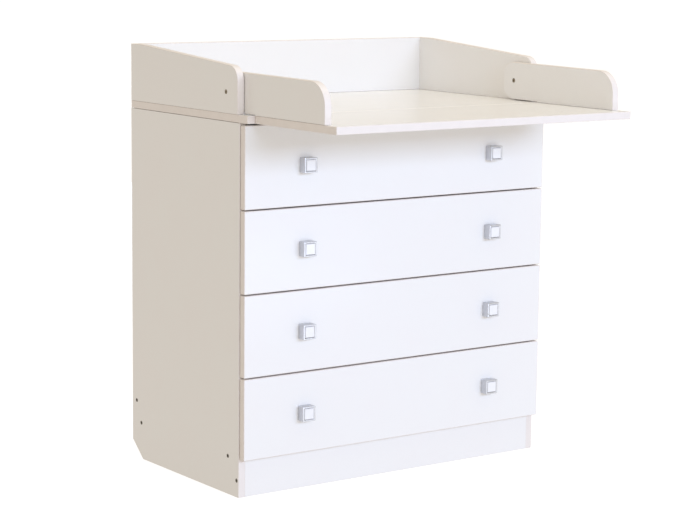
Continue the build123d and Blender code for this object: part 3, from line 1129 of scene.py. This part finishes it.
@dataclass
class Drawer:
    """One drawer: front, box, runners and two knobs.

    Attributes:
        coats: finishes.
        number: 1 is the top drawer.
        knob: shape of its knobs.
        front_corner: rounding of the front's corners.
        front_trim: how the front's edges are finished.
        box_trim: how the box's edges are finished.
    """

    coats: Coats
    number: int
    knob: Knob = field(default_factory=Knob)
    front_corner: float = 2.0 * MM
    front_trim: EdgeTrim = EdgeTrim(rounding=1.3 * MM, seam=0.4 * MM, seam_depth=0.12 * MM)
    box_trim: EdgeTrim = EdgeTrim(rounding=0.7 * MM)

    @property
    def name(self) -> str:
        """Name of the drawer's body."""
        return f"drawer_{self.number}"

    def front(self) -> None:
        """Drawer front, banded all round."""
        low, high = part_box(f"{self.name}_front")
        outline = rectangle((low.x, low.z), (high.x, high.z), (1, 1, 1, 1), self.front_corner)
        shell = board(outline, low.y, high.y, Lie.ON_EDGE_FACING_FRONT, self.front_trim)
        piece = set_out(f"{self.name}_face", shell, self.coats.banded)
        fit(piece, self.name, [f"{self.name}_front"])

    def box(self) -> None:
        """Sides and back of the drawer box, their top edges softened."""
        shells = []
        for word in ("left", "right"):
            low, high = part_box(f"{self.name}_side_{word}")
            outline = rectangle((low.y, low.z), (high.y, high.z), (0.4, 0.4, 1, 0))
            shells.append(board(outline, low.x, high.x, Lie.ON_EDGE_SIDEWAYS, self.box_trim))
        low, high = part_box(f"{self.name}_back")
        outline = rectangle((low.x, low.z), (high.x, high.z), (0.4, 0, 1, 0))
        shells.append(board(outline, low.y, high.y, Lie.ON_EDGE_FACING_FRONT, self.box_trim))
        piece = set_out(f"{self.name}_box", gather(shells), self.coats.banded)
        nodes = [f"{self.name}_{part}" for part in ("side_left", "side_right", "back")]
        fit(piece, self.name, nodes)

    def handles(self) -> None:
        """Both knobs, their inserts and the screws inside the drawer."""
        low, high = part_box(f"{self.name}_knobs")
        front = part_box(f"{self.name}_front")
        length = high.y - low.y
        z = (low.z + high.z) / 2
        spots = [(x, low.y, z) for x in (low.x + self.knob.half, high.x - self.knob.half)]
        metal = gather([self.knob.body(spot, length) for spot in spots])
        tiles = gather([self.knob.insert(spot) for spot in spots])
        heads = gather([self.screw((x, front[1].y, z)) for x, _, z in spots])
        for suffix, shell, coat, node, slot in (
            ("knob_frames", metal, self.coats.knob, "knobs", "knob_metal"),
            ("knob_tiles", tiles, self.coats.insert, "knob_inserts", "knob_insert"),
            ("knob_bolts", heads, self.coats.screw, "knob_screws", "screw_steel"),
        ):
            piece = set_out(f"{self.name}_{suffix}", shell, [coat])
            fit(piece, self.name, [f"{self.name}_{node}"])

    def screw(self, origin: tuple) -> Shell:
        """Domed screw on the inner face of the front, with its shank in the knob."""
        steps = [
            (0.9 * MM, -1.3 * MM, Section.ROUND),
            (1.5 * MM, -1.4 * MM, Section.HEXAGON),
            (1.6 * MM, -2.3 * MM, Section.HEXAGON),
            (2.4 * MM, -2.45 * MM, Section.ROUND),
            (3.5 * MM, -2.1 * MM, Section.ROUND),
            (4.2 * MM, -1.3 * MM, Section.ROUND),
            (4.5 * MM, -0.4 * MM, Section.ROUND),
            (4.5 * MM, 0.0, Section.ROUND),
            (2.0 * MM, 0.0, Section.ROUND),
            (2.0 * MM, 25.5 * MM, Section.ROUND),
        ]
        return turned(steps, origin, (0, -1, 0))

    def build(self) -> None:
        """Make the drawer's pieces and dress its floor and runners."""
        self.front()
        self.box()
        self.handles()
        dress(f"{self.name}_bottom", self.coats.hardboard)
        dress(f"{self.name}_runners", self.coats.zinc)
        dress(f"{self.name}_middle_runners", self.coats.zinc)


# ---------------------------------------------------------------------------- studio


@dataclass(frozen=True)
class Softbox:
    """Rectangular studio light.

    Attributes:
        name: name of the light.
        place: where it stands.
        aim: point that it faces.
        width: its width.
        height: its height.
        power: its power in watts.
        tone: sRGB colour of its light.
    """

    name: str
    place: tuple
    aim: tuple
    width: float
    height: float
    power: float
    tone: str

    def build(self) -> None:
        """Hang the light."""
        lamp = bpy.data.lights.new(self.name, "AREA")
        lamp.shape = "RECTANGLE"
        lamp.size, lamp.size_y, lamp.energy = self.width, self.height, self.power
        lamp.color = linear(self.tone)[:3]
        box = bpy.data.objects.new(self.name, lamp)
        box.location = self.place
        way = Vector(self.aim) - Vector(self.place)
        box.rotation_euler = way.to_track_quat("-Z", "Y").to_euler()
        box.visible_camera = False
        bpy.context.scene.collection.objects.link(box)


@dataclass
class Studio:
    """Camera, soft lights and pale floor.

    Attributes:
        place: where the camera stands.
        yaw: how far it looks round from +Y towards +X, in radians.
        pitch: how far it looks down.
        roll: how far it leans.
        lens: focal length in millimetres on a 36 mm wide sensor.
        lights: softboxes.
        ambience: sRGB colour of the room's light.
        ambience_strength: its strength.
        floor_glow: strength of the light that the floor gives off itself.
    """

    place: tuple = (-2.6798, -3.6164, 1.1556)
    yaw: float = 0.62413
    pitch: float = 0.15419
    roll: float = 0.01125
    lens: float = 107.1
    lights: tuple = (
        Softbox("front light", (0.4, -6.5, 2.4), (0, 0, 0.5), 4.2, 1.25, 230.0, "#C5DAFF"),
        Softbox("top light", (0.2, -0.4, 3.6), (0, 0, 0.6), 2.4, 2.4, 28.0, "#FFF8E0"),
        Softbox("rear light", (0.8, 5.2, 0.42), (0, 0, 0.42), 3.2, 0.7, 70.0, "#E4ECFF"),
        Softbox("low reflector", (0.0, -1.9, 0.04), (0, 0, 0.35), 2.4, 0.5, 8.0, "#D2E0FF"),
    )
    ambience: str = "#D2CABF"
    ambience_strength: float = 1.0
    floor_glow: float = 0.78

    def camera(self) -> None:
        """Stand the camera at the viewing angle."""
        sy, cy = math.sin(self.yaw), math.cos(self.yaw)
        sp, cp = math.sin(self.pitch), math.cos(self.pitch)
        ahead = np.array([sy * cp, cy * cp, -sp])
        right = np.array([cy, -sy, 0.0])
        up = np.cross(right, ahead)
        sr, cr = math.sin(self.roll), math.cos(self.roll)
        turn = np.eye(4)
        turn[:3, 0], turn[:3, 1], turn[:3, 2] = cr * right + sr * up, cr * up - sr * right, -ahead
        turn[:3, 3] = self.place
        lens = bpy.data.cameras.new("camera")
        lens.lens, lens.sensor_width, lens.sensor_fit = self.lens, 36.0, "HORIZONTAL"
        lens.clip_start, lens.clip_end = 0.05, 300.0
        stand = bpy.data.objects.new("camera", lens)
        stand.matrix_world = Matrix(turn.tolist())
        bpy.context.scene.collection.objects.link(stand)
        bpy.context.scene.camera = stand

    def floor(self) -> None:
        """Wide round floor of grey-toned acrylic, white from its strong glow from below."""
        angle = np.arange(96) * 2 * np.pi / 96
        reach = np.array([0.0005, 1.0, 4.0, 15.0, 60.0])[:, None]
        rings = np.stack([reach * np.cos(angle), reach * np.sin(angle), 0 * reach * angle], axis=-1)
        shell = skin(rings[::-1])
        shell.faces, shell.coats = shell.faces[:-2], shell.coats[:-2]
        material = bpy.data.materials.new("White acrylic floor")
        material.use_nodes = True
        tree = material.node_tree
        shader = tree.nodes["Principled BSDF"]
        place = add(tree, "ShaderNodeTexCoord", {}, {}).outputs["Object"]
        cloud = add(tree, "ShaderNodeTexNoise", {}, {"Vector": place, "Scale": 3.0, "Detail": 3.0})
        tone = add(
            tree,
            "ShaderNodeMix",
            {"data_type": "RGBA"},
            {0: cloud.outputs["Fac"], 6: linear("#A9A9A9"), 7: linear("#A5A5A5")},
        )
        tree.links.new(tone.outputs[2], shader.inputs["Base Color"])
        shader.inputs["Roughness"].default_value = 0.6
        shader.inputs["Specular IOR Level"].default_value = 0.2
        shader.inputs["Emission Color"].default_value = linear("#FFFFFF")
        shader.inputs["Emission Strength"].default_value = self.floor_glow
        ground = set_out("floor", shell, [material])
        ground.visible_diffuse = False

    def room(self) -> None:
        """Even light from the room, and tones kept as they are."""
        scene = bpy.context.scene
        world = bpy.data.worlds.new("room")
        scene.world = world
        world.use_nodes = True
        back = world.node_tree.nodes["Background"]
        back.inputs["Color"].default_value = linear(self.ambience)
        back.inputs["Strength"].default_value = self.ambience_strength
        scene.view_settings.view_transform = "Standard"
        scene.view_settings.look = "None"

    def build(self) -> None:
        """Set the studio up."""
        self.camera()
        self.room()
        self.floor()
        for light in self.lights:
            light.build()


def main() -> None:
    """Build the table piece by piece."""
    logging.basicConfig(level=logging.INFO, format="%(name)s: %(message)s")
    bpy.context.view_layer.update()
    Studio().build()
    coats = Coats()
    Carcass(coats).build()
    ChangingTop(coats).build()
    Pivots(coats).build()
    FoldOutTop(coats).build()
    for number in range(1, 5):
        Drawer(coats, number).build()


if __name__ == "__main__":
    main()
